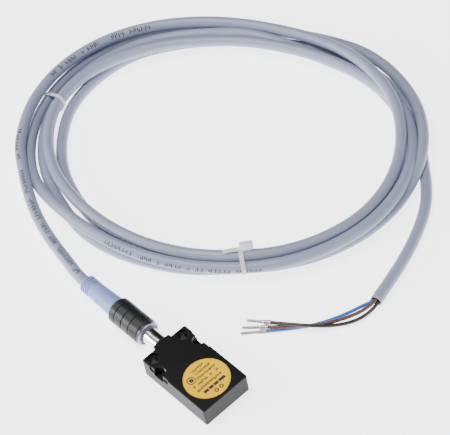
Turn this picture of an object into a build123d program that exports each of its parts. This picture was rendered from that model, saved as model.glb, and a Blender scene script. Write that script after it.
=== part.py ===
from build123d import *
import math
import os

os.makedirs("parts", exist_ok=True)

# A flat rectangular proximity sensor with a short barrel connector at its rear, a push-on
# cable plug with a turning grip sleeve, and two metres of round cable wound in a tied coil.
# Frame: the origin lies midway between the two fixing holes on the underside, +X runs along
# the housing towards its front face, +Z points up. All sizes are in millimetres.

# ---- housing ----
housing_length = 32.0
housing_width = 20.0
housing_height = 8.0
side_wall = 1.0
top_wall = 1.0
base_thickness = 0.8
corner_radius = 0.7
rim_chamfer = 0.2
thin_wall = 0.8            # least wall left beside a hole or a pocket
fit_gap = 0.05             # clearance round a piece that drops or presses into its seat
boss_width = 7.4
boss_length = 1.4

# ---- fixing holes ----
hole_diameter = 3.2
hole_spacing = 13.6
hole_inset = 2.5           # from the rear face to the hole centres
counterbore_diameter = 4.4
counterbore_depth = 1.0

# ---- side pockets and recesses ----
pocket_radius = 2.2
pocket_from_rear = 8.3
pocket_from_side = 1.0
pocket_depth = 3.4
recess_from_rear = 4.0
recess_length = 9.3
recess_depth = 0.4
recess_height = 2.2
window_width = 1.5
window_height = 1.6

# ---- label ----
label_diameter = 16.5
label_thickness = 0.2
label_seat_depth = 0.1
label_from_front = 9.5

# ---- electronics ----
electrode_diameter = 9.0
electrode_thickness = 0.15
guard_inner_diameter = 10.6
guard_outer_diameter = 15.0
carrier_diameter = 16.2
carrier_thickness = 1.0
peg_diameter = 1.2
lead_wire_diameter = 0.6
board_thickness = 0.8
board_underside = 2.5
board_clearance = 0.3      # from the board's edge to the cavity wall
potting_clearance = 0.05

# ---- connector barrel ----
spigot_length = 5.4
neck_diameter = 6.3
spigot_diameter = neck_diameter - 1.1
neck_length = 6.1
barrel_nose_length = 6.0
snap_groove_depth = 0.25
cup_wall = 0.55            # metal round the cup that takes the plug
cup_diameter = neck_diameter - 2 * cup_wall
cup_depth = 5.4
cup_step = 0.5             # seat left between the cup and the bore behind it
barrel_bore_diameter = cup_diameter - 2 * cup_step
pin_diameter = 0.24 * barrel_bore_diameter        # the three-pin pattern follows the bore
pin_tail_diameter = 0.7
pin_circle_diameter = 0.62 * barrel_bore_diameter
pin_recess = 1.4           # from the barrel's mouth back to the pin tips
carrier_flange_thickness = 1.0
seal_thickness = 0.5

# ---- plug and its grip sleeve ----
sleeve_diameter = 9.9
sleeve_length = 15.1
sleeve_bore_diameter = 8.9
journal_diameter = 7.6
turning_gap = 0.15         # radial clearance between pieces that turn or slide
collar_diameter = 9.4
collar_exposed_length = 1.4
collar_tail_length = 3.0
liner_diameter = 8.2
liner_length = 0.8
liner_inset = 0.4          # from the collar's mouth back to the liner's face
neck_exposed_length = 7.1  # bare metal between the boss and the plug
insert_length = 13.1
insert_gap = 0.1
contact_diameter = 0.36 * barrel_bore_diameter
contact_length = 9.0
overmould_back_diameter = 7.9
overmould_end_diameter = 6.6
relief_ring_diameter = 6.9  # the end rings stand a little proud of the taper
overmould_length = 17.0
relief_rings = 4
relief_ring_pitch = 1.0
relief_groove_width = 0.4
relief_groove_depth = 0.3
grip_grooves = (3.1, 6.9, 10.7)  # distances from the sleeve's rear end
grip_groove_width = 0.5
grip_groove_depth = 0.3
grip_ribs = 24
rib_slot_width = 0.4
rib_slot_depth = 0.15
rib_slot_length = 3.2
seal_cord_diameter = 1.0

# ---- cable ----
cable_diameter = 4.4
core_diameter = 1.3
core_circle_radius = 0.8
core_height = core_diameter / 2
core_socket_depth = 3.6
ferrule_diameter = 1.6
ferrule_length = 9.2
ferrule_sleeve_length = 2.6
ferrule_pin_diameter = 1.1

# ---- coil: an oval loop, and how far the bundle reaches inside and outside it ----
coil_centre = (-57.3, 76.9)
coil_mean_radius = 60.4
coil_oval = 7.26           # how far the loop's long and short radii differ from the mean
coil_oval_angle = 27.0
coil_egg = 1.45            # how far the loop is flattened on three sides
coil_height = 9.6
coil_edge_radius = 1.6
coil_first_sector = -135.0
coil_inside = (5.8, 3.8, 2.8, 1.4, 0.6, 1.4, 1.0, 0.6, 3.2, 4.8, 3.6, 4.6)
coil_outside = (13.6, 14.0, 14.6, 15.4, 16.0, 14.6, 13.8, 9.4, 8.0, 6.6, 6.2, 8.2)

# ---- cable ties ----
tie_width = 1.5
tie_thickness = 0.6
tie_corner_radius = 1.6
tie_slot_gap = 0.15
side_tie_angle = -159.0
side_tie_span = (-0.8, 12.4)     # across the bundle, measured from the loop
front_tie_angle = -36.0
front_tie_span = (-5.6, 7.4)
tie_head_size = (4.6, 3.4, 2.6)

# ---- derived places ----
rear_x = -hole_inset
front_x = rear_x + housing_length
boss_face_x = rear_x - boss_length
half_width = housing_width / 2
cavity_top = housing_height - top_wall
hole_y = hole_spacing / 2
cavity_rear_x = counterbore_diameter / 2 + thin_wall
pocket_x = rear_x + pocket_from_rear
pocket_y = half_width - pocket_from_side
pocket_floor = housing_height - pocket_depth
pocket_inner_y = pocket_y - pocket_radius
neck_half_width = pocket_inner_y - thin_wall
main_half_width = half_width - side_wall
cavity_step_x = pocket_x + pocket_radius + thin_wall
cavity_front_x = front_x - side_wall
label_x = front_x - label_from_front
board_top = board_underside + board_thickness
electrode_underside = cavity_top - electrode_thickness
carrier_underside = electrode_underside - carrier_thickness
plug_axis_height = sleeve_diameter / 2
plug_axis = Axis((0, 0, plug_axis_height), (1, 0, 0))
neck_end_x = boss_face_x - neck_length
barrel_mouth_x = neck_end_x - barrel_nose_length
cup_floor_x = barrel_mouth_x + cup_depth
pin_tip_x = barrel_mouth_x + pin_recess
collar_front_x = boss_face_x - neck_exposed_length
sleeve_front_x = collar_front_x - collar_exposed_length
sleeve_rear_x = sleeve_front_x - sleeve_length
collar_tail_x = sleeve_front_x - collar_tail_length
overmould_end_x = sleeve_rear_x - overmould_length
insert_front_x = cup_floor_x - carrier_flange_thickness - insert_gap
insert_rear_x = insert_front_x - insert_length
seal_x = barrel_mouth_x - seal_cord_diameter / 2 - 0.4
journal_front_x = seal_x - seal_cord_diameter / 2 - 0.4
ring_slot_x = journal_front_x - 0.4


def cavity_outline(shrink):
    """The stepped outline of the housing's cavity, drawn in by a clearance."""
    step = cavity_step_x + shrink
    rear = cavity_rear_x + shrink
    front = cavity_front_x - shrink
    narrow = neck_half_width - shrink
    wide = main_half_width - shrink
    return [
        (rear, -narrow),
        (step, -narrow),
        (step, -wide),
        (front, -wide),
        (front, wide),
        (step, wide),
        (step, narrow),
        (rear, narrow),
    ]


def stepped_slab(shrink, bottom, height):
    """A flat slab with the cavity's outline."""
    with BuildPart() as slab:
        with BuildSketch(Plane.XY.offset(bottom)):
            with BuildLine():
                Polyline(*cavity_outline(shrink), close=True)
            make_face()
        extrude(amount=height)
    return slab.part


def turned(profile):
    """A solid turned about the plug's axis from (x, radius) points."""
    with BuildPart() as solid:
        with BuildSketch(Plane.XZ):
            with BuildLine():
                Polyline(*[(x, plug_axis_height + radius) for x, radius in profile], close=True)
            make_face()
        revolve(axis=plug_axis)
    return solid.part


def save(part, name):
    """Label a finished piece and write its file."""
    part.label = name
    export_step(part, f"parts/{name}.step")


# ---- housing shell ----
with BuildPart() as housing_shell:
    with BuildSketch():
        with Locations(((rear_x + front_x) / 2, 0)):
            Rectangle(housing_length, housing_width)
    extrude(amount=housing_height)
    fillet(housing_shell.edges().filter_by(Axis.Z), radius=corner_radius)
    with BuildSketch():
        with Locations(((boss_face_x + rear_x) / 2, 0)):
            Rectangle(boss_length, boss_width)
    extrude(amount=housing_height)
    fillet(housing_shell.edges().filter_by(Axis.Z).group_by(Axis.X)[0], radius=corner_radius)
    chamfer(housing_shell.faces().sort_by(Axis.Z)[-1].edges(), length=rim_chamfer)
    chamfer(housing_shell.faces().sort_by(Axis.Z)[0].edges(), length=rim_chamfer)
    # cavity, open underneath
    with BuildSketch():
        with BuildLine():
            Polyline(*cavity_outline(0), close=True)
        make_face()
    extrude(amount=cavity_top, mode=Mode.SUBTRACT)
    # fixing holes
    with Locations((0, hole_y, housing_height), (0, -hole_y, housing_height)):
        CounterBoreHole(hole_diameter / 2, counterbore_diameter / 2, counterbore_depth)
    # half-round side pockets
    with BuildSketch(Plane.XY.offset(pocket_floor)):
        for side in (-1, 1):
            with Locations((pocket_x, side * pocket_y)):
                Circle(pocket_radius)
            with Locations((pocket_x, side * half_width)):
                Rectangle(2 * pocket_radius, 2 * pocket_from_side)
    extrude(amount=pocket_depth, mode=Mode.SUBTRACT)
    # shallow side recesses round the pockets
    with BuildSketch(Plane.XY.offset(housing_height - recess_height)):
        for side in (-1, 1):
            with Locations((rear_x + recess_from_rear + recess_length / 2, side * half_width)):
                Rectangle(recess_length, 2 * recess_depth)
    extrude(amount=recess_height, mode=Mode.SUBTRACT)
    # windows for the light guide's ends
    with BuildSketch(Plane.XZ.offset(-half_width)):
        with Locations((pocket_x, cavity_top - window_height / 2)):
            Rectangle(window_width, window_height)
    extrude(amount=housing_width, mode=Mode.SUBTRACT)
    # bore for the connector's spigot
    with BuildSketch(Plane.YZ.offset(boss_face_x)):
        with Locations((0, plug_axis_height)):
            Circle(spigot_diameter / 2 + fit_gap)
    extrude(amount=cavity_rear_x - boss_face_x, mode=Mode.SUBTRACT)
    # seat for the label
    with BuildSketch(Plane.XY.offset(housing_height - label_seat_depth)):
        with Locations((label_x, 0)):
            Circle(label_diameter / 2 + fit_gap)
    extrude(amount=label_seat_depth, mode=Mode.SUBTRACT)
save(housing_shell.part, "housing_shell")

# ---- base plate, let into the open underside ----
with BuildPart() as base_plate:
    add(stepped_slab(fit_gap, 0, base_thickness))
save(base_plate.part, "base_plate")

# ---- label ----
with BuildPart() as label_disc:
    with BuildSketch(Plane.XY.offset(housing_height - label_seat_depth)):
        with Locations((label_x, 0)):
            Circle(label_diameter / 2)
    extrude(amount=label_thickness)
save(label_disc.part, "label_disc")

# ---- sensing electrode, guard ring and their carrier ----
with BuildPart() as sensing_electrode:
    with BuildSketch(Plane.XY.offset(electrode_underside)):
        with Locations((label_x, 0)):
            Circle(electrode_diameter / 2)
    extrude(amount=electrode_thickness)
save(sensing_electrode.part, "sensing_electrode")

with BuildPart() as guard_ring:
    with BuildSketch(Plane.XY.offset(electrode_underside)):
        with Locations((label_x, 0)):
            Circle(guard_outer_diameter / 2)
            Circle(guard_inner_diameter / 2, mode=Mode.SUBTRACT)
    extrude(amount=electrode_thickness)
save(guard_ring.part, "guard_ring")

guard_lead_x = label_x - (guard_inner_diameter + guard_outer_diameter) / 4
electrode_lead_spots = [(label_x, 0), (guard_lead_x, 0)]

with BuildPart() as electrode_carrier:
    with BuildSketch(Plane.XY.offset(carrier_underside)):
        with Locations((label_x, 0)):
            Circle(carrier_diameter / 2)
        with Locations(*electrode_lead_spots):
            Circle(lead_wire_diameter / 2 + 2 * fit_gap, mode=Mode.SUBTRACT)
    extrude(amount=carrier_thickness)
    with BuildSketch(Plane.XY.offset(board_top)):
        with Locations((label_x, 0)):
            with PolarLocations(carrier_diameter / 2 - peg_diameter, 3, start_angle=40):
                Circle(peg_diameter / 2)
    extrude(amount=carrier_underside - board_top)
save(electrode_carrier.part, "electrode_carrier")

with BuildPart() as electrode_leads:
    with BuildSketch(Plane.XY.offset(board_top)):
        with Locations(*electrode_lead_spots):
            Circle(lead_wire_diameter / 2)
    extrude(amount=electrode_underside - board_top)
save(electrode_leads.part, "electrode_leads")

# ---- circuit board and the parts on it ----
with BuildPart() as circuit_board:
    add(stepped_slab(board_clearance, board_underside, board_thickness))
save(circuit_board.part, "circuit_board")

oscillator_size = (4.9, 3.9, 1.3)
oscillator_spot = (label_x - 3.0, -4.4)
with BuildPart() as oscillator_chip:
    with BuildSketch(Plane.XY.offset(board_top + 0.15)):
        with Locations(oscillator_spot):
            Rectangle(oscillator_size[0], oscillator_size[1])
    extrude(amount=oscillator_size[2])
    with BuildSketch(Plane.XY.offset(board_top)):
        with Locations(oscillator_spot):
            with GridLocations(1.27, oscillator_size[1] + 0.6, 4, 2):
                Rectangle(0.4, 1.0)
    extrude(amount=0.4)
save(oscillator_chip.part, "oscillator_chip")

transistor_size = (1.3, 2.9, 0.95)
transistor_spot = (cavity_step_x + 1.8, 5.6)
with BuildPart() as output_transistor:
    with BuildSketch(Plane.XY.offset(board_top + 0.1)):
        with Locations(transistor_spot):
            Rectangle(transistor_size[0], transistor_size[1])
    extrude(amount=transistor_size[2])
    with BuildSketch(Plane.XY.offset(board_top)):
        with Locations((transistor_spot[0] - 0.8, transistor_spot[1])):
            Rectangle(0.7, 0.4)
        with Locations((transistor_spot[0] + 0.8, transistor_spot[1])):
            with GridLocations(1, 1.9, 1, 2):
                Rectangle(0.7, 0.4)
    extrude(amount=0.3)
save(output_transistor.part, "output_transistor")

with BuildPart() as regulator_chip:
    with BuildSketch(Plane.XY.offset(board_top)):
        with Locations((cavity_step_x + 2.2, -5.6)):
            Rectangle(2.6, 2.2)
    extrude(amount=1.0)
    chamfer(regulator_chip.faces().sort_by(Axis.Z)[-1].edges(), length=0.15)
save(regulator_chip.part, "regulator_chip")

with BuildPart() as chip_capacitors:
    with BuildSketch(Plane.XY.offset(board_top)):
        with Locations((label_x - 1.5, 4.6)):
            with GridLocations(2.4, 2.2, 3, 2):
                Rectangle(1.6, 0.8)
    extrude(amount=0.8)
save(chip_capacitors.part, "chip_capacitors")

with BuildPart() as chip_resistors:
    with BuildSketch(Plane.XY.offset(board_top)):
        with Locations((cavity_step_x + 1.9, 0)):
            with GridLocations(1.6, 1.7, 2, 3):
                Rectangle(0.8, 1.2)
    extrude(amount=0.4)
save(chip_resistors.part, "chip_resistors")

led_y = neck_half_width - 2.0
with BuildPart() as status_led:
    with BuildSketch(Plane.XY.offset(board_top)):
        with Locations((pocket_x, led_y)):
            Rectangle(1.2, 1.6)
    extrude(amount=0.5)
    with BuildSketch(Plane.XY.offset(board_top + 0.5)):
        with Locations((pocket_x, led_y)):
            Circle(0.5)
    extrude(amount=0.3)
save(status_led.part, "status_led")

# the light guide spans the housing and shows in a window in each side pocket
guide_width = window_width - 2 * fit_gap
guide_bar_height = 0.6
guide_end_length = thin_wall + 0.6
guide_end_y = pocket_inner_y - fit_gap
with BuildPart() as light_guide:
    with BuildSketch(Plane.XZ.offset(-guide_end_y)):
        with Locations((pocket_x, cavity_top - fit_gap - guide_bar_height / 2)):
            Rectangle(guide_width, guide_bar_height)
    extrude(amount=2 * guide_end_y)
    for side in (-1, 1):
        with BuildSketch(Plane.XY.offset(cavity_top - window_height + fit_gap)):
            with Locations((pocket_x, side * (guide_end_y - guide_end_length / 2))):
                Rectangle(guide_width, guide_end_length)
        extrude(amount=window_height - 2 * fit_gap)
    with BuildSketch(Plane.XY.offset(board_top + 1.0)):
        with Locations((pocket_x, led_y)):
            Circle(0.6)
    extrude(amount=cavity_top - board_top - 1.0 - fit_gap)
save(light_guide.part, "light_guide")

# ---- cast resin under the board ----
with BuildPart() as potting_block:
    add(
        stepped_slab(
            board_clearance,
            base_thickness + potting_clearance,
            board_underside - base_thickness - 2 * potting_clearance,
        )
    )
save(potting_block.part, "potting_block")

# ---- connector barrel: spigot, visible neck and a cupped nose with a snap groove ----
spigot_end_x = boss_face_x + spigot_length
neck_shoulder_x = boss_face_x - seal_thickness
snap_groove_x = neck_end_x - 2.8
barrel_profile = [
    (spigot_end_x, barrel_bore_diameter / 2),
    (spigot_end_x, spigot_diameter / 2),
    (neck_shoulder_x, spigot_diameter / 2),
    (neck_shoulder_x, neck_diameter / 2),
    (snap_groove_x, neck_diameter / 2),
    (snap_groove_x - 0.2, neck_diameter / 2 - snap_groove_depth),
    (snap_groove_x - 0.8, neck_diameter / 2 - snap_groove_depth),
    (snap_groove_x - 1.0, neck_diameter / 2),
    (barrel_mouth_x + 0.4, neck_diameter / 2),
    (barrel_mouth_x, neck_diameter / 2 - 0.3),
    (barrel_mouth_x, cup_diameter / 2),
    (cup_floor_x, cup_diameter / 2),
    (cup_floor_x, barrel_bore_diameter / 2),
]
with BuildPart() as connector_barrel:
    add(turned(barrel_profile))
save(connector_barrel.part, "connector_barrel")

with BuildPart() as barrel_seal:
    add(
        turned(
            [
                (boss_face_x, spigot_diameter / 2 + fit_gap),
                (boss_face_x, neck_diameter / 2 - 0.1),
                (neck_shoulder_x, neck_diameter / 2 - 0.1),
                (neck_shoulder_x, spigot_diameter / 2 + fit_gap),
            ]
        )
    )
save(barrel_seal.part, "barrel_seal")

# ---- contact pins, each bent down to the board, and the insulator that holds them ----
pin_angles = (90, 210, 330)
pin_spots = [
    (
        pin_circle_diameter / 2 * math.cos(math.radians(angle)),
        plug_axis_height + pin_circle_diameter / 2 * math.sin(math.radians(angle)),
    )
    for angle in pin_angles
]
insulator_end_x = cavity_rear_x + 0.2
pin_leg_places = (pocket_x - 2.2, pocket_x - 1.0, pocket_x - 1.0)

with BuildPart() as contact_carrier:
    add(
        turned(
            [
                (insulator_end_x, 0),
                (insulator_end_x, barrel_bore_diameter / 2 - fit_gap),
                (cup_floor_x, barrel_bore_diameter / 2 - fit_gap),
                (cup_floor_x, cup_diameter / 2 - fit_gap),
                (cup_floor_x - carrier_flange_thickness, cup_diameter / 2 - fit_gap),
                (cup_floor_x - carrier_flange_thickness, 0),
            ]
        )
    )
    with BuildSketch(Plane.YZ.offset(cup_floor_x - carrier_flange_thickness)):
        with Locations(*pin_spots):
            Circle(pin_diameter / 2 + fit_gap)
    extrude(amount=insulator_end_x - cup_floor_x + carrier_flange_thickness, mode=Mode.SUBTRACT)
save(contact_carrier.part, "contact_carrier")

with BuildPart() as contact_pins:
    with BuildSketch(Plane.YZ.offset(pin_tip_x)):
        with Locations(*pin_spots):
            Circle(pin_diameter / 2)
    extrude(amount=insulator_end_x - pin_tip_x - 0.2)
    chamfer(contact_pins.faces().group_by(Axis.X)[0].edges(), length=0.25)
    for spot, leg_x in zip(pin_spots, pin_leg_places):
        with BuildSketch(Plane.YZ.offset(insulator_end_x - 0.2)):
            with Locations(spot):
                Circle(pin_tail_diameter / 2)
        extrude(amount=leg_x - insulator_end_x + 0.2)
        with BuildSketch(Plane.XY.offset(board_top)):
            with Locations((leg_x, spot[0])):
                Circle(pin_tail_diameter / 2)
        extrude(amount=spot[1] - board_top)
save(contact_pins.part, "contact_pins")

# ---- plug: contact insert, tubular contacts, seal and moulded body ----
insert_diameter = cup_diameter - 2 * insert_gap
with BuildPart() as socket_insert:
    add(
        turned(
            [
                (insert_front_x, 0),
                (insert_front_x, insert_diameter / 2 - 0.2),
                (insert_front_x - 0.2, insert_diameter / 2),
                (insert_rear_x, insert_diameter / 2),
                (insert_rear_x, 0),
            ]
        )
    )
    with BuildSketch(Plane.YZ.offset(insert_front_x)):
        with Locations(*pin_spots):
            Circle(contact_diameter / 2 + fit_gap)
    extrude(amount=-(contact_length + 0.6), mode=Mode.SUBTRACT)
    with BuildSketch(Plane.YZ.offset(insert_rear_x)):
        with Locations(*pin_spots):
            Circle(pin_tail_diameter / 2 + fit_gap)
    extrude(amount=insert_length, mode=Mode.SUBTRACT)
save(socket_insert.part, "socket_insert")

contact_front_x = insert_front_x - 0.3
contact_rear_x = contact_front_x - contact_length
with BuildPart() as socket_contacts:
    with BuildSketch(Plane.YZ.offset(contact_rear_x)):
        with Locations(*pin_spots):
            Circle(contact_diameter / 2)
    extrude(amount=contact_length)
    with BuildSketch(Plane.YZ.offset(contact_front_x)):
        with Locations(*pin_spots):
            Circle(pin_diameter / 2 + fit_gap)
    extrude(amount=-(contact_length - 1.5), mode=Mode.SUBTRACT)
    with BuildSketch(Plane.YZ.offset(insert_rear_x - 0.6)):
        with Locations(*pin_spots):
            Circle(pin_tail_diameter / 2)
    extrude(amount=contact_rear_x - insert_rear_x + 0.6)
save(socket_contacts.part, "socket_contacts")

with BuildPart() as plug_seal:
    with BuildSketch(Plane.XZ):
        with Locations((seal_x, plug_axis_height + insert_diameter / 2 + seal_cord_diameter / 2 + fit_gap)):
            Circle(seal_cord_diameter / 2)
    revolve(axis=plug_axis)
save(plug_seal.part, "plug_seal")

ring_slot_radius = journal_diameter / 2 - 0.4
relief_start_x = overmould_end_x + relief_rings * relief_ring_pitch
overmould_profile = [
    (journal_front_x, insert_diameter / 2 + fit_gap),
    (journal_front_x, journal_diameter / 2),
    (ring_slot_x, journal_diameter / 2),
    (ring_slot_x, ring_slot_radius),
    (ring_slot_x - 0.6, ring_slot_radius),
    (ring_slot_x - 0.6, journal_diameter / 2),
    (sleeve_rear_x - 0.2, journal_diameter / 2),
    (sleeve_rear_x - 0.2, overmould_back_diameter / 2),
    (relief_start_x, overmould_end_diameter / 2),
]
for ring in range(relief_rings):
    land_x = relief_start_x - ring * relief_ring_pitch
    groove_radius = relief_ring_diameter / 2 - relief_groove_depth
    overmould_profile += [
        (land_x - 0.01, groove_radius),
        (land_x - relief_groove_width, groove_radius),
        (land_x - relief_groove_width - 0.01, relief_ring_diameter / 2),
        (land_x - relief_ring_pitch + 0.01, relief_ring_diameter / 2),
    ]
overmould_profile += [
    (overmould_end_x, 0),
    (insert_rear_x - 0.8, 0),
    (insert_rear_x - 0.8, insert_diameter / 2 - 0.6),
    (insert_rear_x - fit_gap, insert_diameter / 2 - 0.6),
    (insert_rear_x - fit_gap, insert_diameter / 2 + fit_gap),
]
with BuildPart() as plug_body:
    add(turned(overmould_profile))
save(plug_body.part, "plug_body")

with BuildPart() as retaining_ring:
    with BuildSketch(Plane.YZ.offset(ring_slot_x - 0.5)):
        with Locations((0, plug_axis_height)):
            Circle(sleeve_bore_diameter / 2 - turning_gap)
            Circle(ring_slot_radius + fit_gap, mode=Mode.SUBTRACT)
        with Locations((0, plug_axis_height + journal_diameter / 2)):
            Rectangle(1.2, 2.4, mode=Mode.SUBTRACT)
    extrude(amount=0.4)
save(retaining_ring.part, "retaining_ring")

# ---- grip sleeve and snap collar, which turn together round the plug body ----
sleeve_step_x = ring_slot_x - 0.8
sleeve_radius = sleeve_diameter / 2
sleeve_profile = [
    (sleeve_front_x, sleeve_bore_diameter / 2),
    (sleeve_front_x, sleeve_radius - 0.3),
    (sleeve_front_x - 0.3, sleeve_radius),
]
for distance in reversed(grip_grooves):
    middle = sleeve_rear_x + distance
    sleeve_profile += [
        (middle + grip_groove_width / 2, sleeve_radius),
        (middle + grip_groove_width / 4, sleeve_radius - grip_groove_depth),
        (middle - grip_groove_width / 4, sleeve_radius - grip_groove_depth),
        (middle - grip_groove_width / 2, sleeve_radius),
    ]
sleeve_profile += [
    (sleeve_rear_x + 0.5, sleeve_radius),
    (sleeve_rear_x, sleeve_radius - 0.4),
    (sleeve_rear_x, journal_diameter / 2 + turning_gap),
    (sleeve_step_x, journal_diameter / 2 + turning_gap),
    (sleeve_step_x, sleeve_bore_diameter / 2),
]
rib_slot_x = sleeve_front_x - 0.4 - rib_slot_length
with BuildPart() as coupling_sleeve:
    add(turned(sleeve_profile))
    with BuildSketch(Plane.YZ.offset(rib_slot_x)):
        with Locations((0, plug_axis_height)):
            with PolarLocations(sleeve_radius, grip_ribs):
                Rectangle(2 * rib_slot_depth, rib_slot_width)
    extrude(amount=rib_slot_length, mode=Mode.SUBTRACT)
save(coupling_sleeve.part, "coupling_sleeve")

collar_bore_radius = neck_diameter / 2 + turning_gap
liner_end_x = collar_front_x - liner_inset - liner_length
collar_tail_radius = sleeve_bore_diameter / 2 - fit_gap
snap_ring_x = snap_groove_x - 0.5
snap_ring_wire = 0.4
with BuildPart() as snap_collar:
    add(
        turned(
            [
                (liner_end_x, collar_bore_radius),
                (liner_end_x, liner_diameter / 2),
                (collar_front_x, liner_diameter / 2),
                (collar_front_x, collar_diameter / 2 - 0.35),
                (collar_front_x - 0.35, collar_diameter / 2),
                (sleeve_front_x + fit_gap, collar_diameter / 2),
                (sleeve_front_x + fit_gap, collar_tail_radius),
                (collar_tail_x, collar_tail_radius),
                (collar_tail_x, collar_bore_radius),
                (snap_ring_x - snap_ring_wire, collar_bore_radius),
                (snap_ring_x - snap_ring_wire, collar_bore_radius + snap_ring_wire),
                (snap_ring_x + snap_ring_wire, collar_bore_radius + snap_ring_wire),
                (snap_ring_x + snap_ring_wire, collar_bore_radius),
            ]
        )
    )
save(snap_collar.part, "snap_collar")

with BuildPart() as collar_liner:
    add(
        turned(
            [
                (liner_end_x, collar_bore_radius),
                (liner_end_x, liner_diameter / 2 - fit_gap),
                (liner_end_x + liner_length, liner_diameter / 2 - fit_gap),
                (liner_end_x + liner_length, collar_bore_radius),
            ]
        )
    )
save(collar_liner.part, "collar_liner")

with BuildPart() as snap_ring:
    with BuildSketch(Plane.XZ):
        with Locations((snap_ring_x, plug_axis_height + collar_bore_radius + snap_ring_wire / 2)):
            Circle(snap_ring_wire / 2 - fit_gap / 2)
    revolve(axis=plug_axis, revolution_arc=330)
save(snap_ring.part, "snap_ring")


# ---- cable ----
def route_radii(points):
    """The radius of the arc at each inner point of a route."""
    radii = []
    for before, here, after in zip(points, points[1:], points[2:]):
        arriving = Vector(*here) - Vector(*before)
        leaving = Vector(*after) - Vector(*here)
        half_turn = math.radians(arriving.get_angle(leaving)) / 2
        radii.append(0.45 * min(arriving.length, leaving.length) / math.tan(half_turn))
    return radii


def cord_tube(points, diameter, name=""):
    """A round tube along a route of straight runs joined by tangent arcs."""
    radii = route_radii(points)
    with BuildPart() as tube:
        with BuildLine() as path:
            FilletPolyline(*points, radius=radii)
        centreline = path.wires()[0]
        with BuildSketch(Plane(origin=centreline @ 0, z_dir=centreline % 0)):
            Circle(diameter / 2)
        sweep(path=centreline)
    if name:
        expected = math.pi * diameter**2 / 4 * centreline.length
        print(
            name,
            "length",
            round(centreline.length, 1),
            "volume ratio",
            round(tube.part.volume / expected, 4),
            "radii",
            [round(radius, 1) for radius in radii],
        )
    return tube.part


# the lead leaves the plug straight, then swings round to the coil's outer left side
lead_route = [
    (overmould_end_x, 0, plug_axis_height),
    (-49.5, 0, plug_axis_height),
    (-59.0, 2.0, 4.8),
    (-70.0, 4.0, 4.6),
    (-82.0, 7.2, 4.5),
    (-94.5, 12.4, 4.6),
    (-106.0, 18.9, 4.9),
]

# the tail leaves the coil's right side and runs forward to the cut end of the sheath
tail_route = [
    (7.6, 123.8, 2.2),
    (13.6, 116.8, 2.2),
    (20.2, 107.8, 2.2),
    (26.3, 97.0, 2.2),
    (31.2, 84.6, 2.2),
    (34.4, 73.4, 2.2),
    (36.7, 64.6, 2.2),
]
save(cord_tube(lead_route, cable_diameter, "lead_tube"), "lead_tube")


def loop_radius(angle):
    """The radius of the loop the cable is wound along, an oval flattened on three sides."""
    turn = math.radians(angle)
    oval = coil_oval * math.cos(2 * (turn - math.radians(coil_oval_angle)))
    return coil_mean_radius + oval - coil_egg * math.cos(3 * turn)


def loop_point(angle, offset):
    """A point of the floor plan, a distance outside the loop."""
    radius = loop_radius(angle) + offset
    turn = math.radians(angle)
    return (coil_centre[0] + radius * math.cos(turn), coil_centre[1] + radius * math.sin(turn))


sector = 360 / len(coil_outside)
sector_angles = [coil_first_sector - sector * number for number in range(len(coil_outside))]
inner_outline = [loop_point(angle, -reach) for angle, reach in zip(sector_angles, coil_inside)]
outer_outline = [loop_point(angle, reach) for angle, reach in zip(sector_angles, coil_outside)]


def tie_plane(angle):
    """A plane across the bundle: its x runs outwards and its y runs up."""
    turn = math.radians(angle)
    start = loop_point(angle, 0)
    return Plane(
        origin=(start[0], start[1], 0),
        x_dir=(math.cos(turn), math.sin(turn), 0),
        z_dir=(math.sin(turn), -math.cos(turn), 0),
    )


def tie_band(angle, span, top, gap):
    """A closed strap round part of the bundle, grown all round by a gap."""
    middle = (span[0] + span[1]) / 2
    width = span[1] - span[0]
    with BuildPart() as band:
        with BuildSketch(tie_plane(angle)):
            with Locations((middle, top / 2)):
                RectangleRounded(width + 2 * gap, top + 2 * gap, tie_corner_radius + tie_thickness)
                RectangleRounded(
                    width - 2 * tie_thickness - 2 * gap,
                    top - 2 * tie_thickness - 2 * gap,
                    tie_corner_radius,
                    mode=Mode.SUBTRACT,
                )
        extrude(amount=tie_width / 2 + gap, both=True)
    return band.part


side_tie_top = coil_height + 0.2
front_tie_top = coil_height + tie_thickness + 0.4
side_slot = tie_band(side_tie_angle, side_tie_span, side_tie_top, tie_slot_gap)
front_slot = tie_band(front_tie_angle, front_tie_span, front_tie_top, tie_slot_gap)

with BuildPart() as cable_coil:
    with BuildSketch():
        with BuildLine():
            Spline(*outer_outline, periodic=True)
        make_face()
        with BuildLine():
            Spline(*inner_outline, periodic=True)
        make_face(mode=Mode.SUBTRACT)
    extrude(amount=coil_height)
    fillet(cable_coil.faces().sort_by(Axis.Z)[-1].edges(), radius=coil_edge_radius)
    fillet(cable_coil.faces().sort_by(Axis.Z)[0].edges(), radius=coil_edge_radius)
    add(side_slot, mode=Mode.SUBTRACT)
    add(front_slot, mode=Mode.SUBTRACT)
    add(cord_tube(lead_route, cable_diameter + 4 * fit_gap), mode=Mode.SUBTRACT)
    add(cord_tube(tail_route, cable_diameter + 4 * fit_gap), mode=Mode.SUBTRACT)
save(cable_coil.part, "cable_coil")

with BuildPart() as side_tie:
    add(tie_band(side_tie_angle, side_tie_span, side_tie_top, 0))
save(side_tie.part, "side_tie")

tie_head_plane = tie_plane(front_tie_angle).offset(-tie_head_size[1] / 2)
with BuildPart() as front_tie:
    add(tie_band(front_tie_angle, front_tie_span, front_tie_top, 0))
    with BuildSketch(tie_head_plane):
        head_middle = front_tie_span[0] + tie_head_size[0] / 2
        with Locations((head_middle, front_tie_top + tie_head_size[2] / 2 - 0.3)):
            RectangleRounded(tie_head_size[0], tie_head_size[2], 0.6)
    extrude(amount=tie_head_size[1])
save(front_tie.part, "front_tie")

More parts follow.
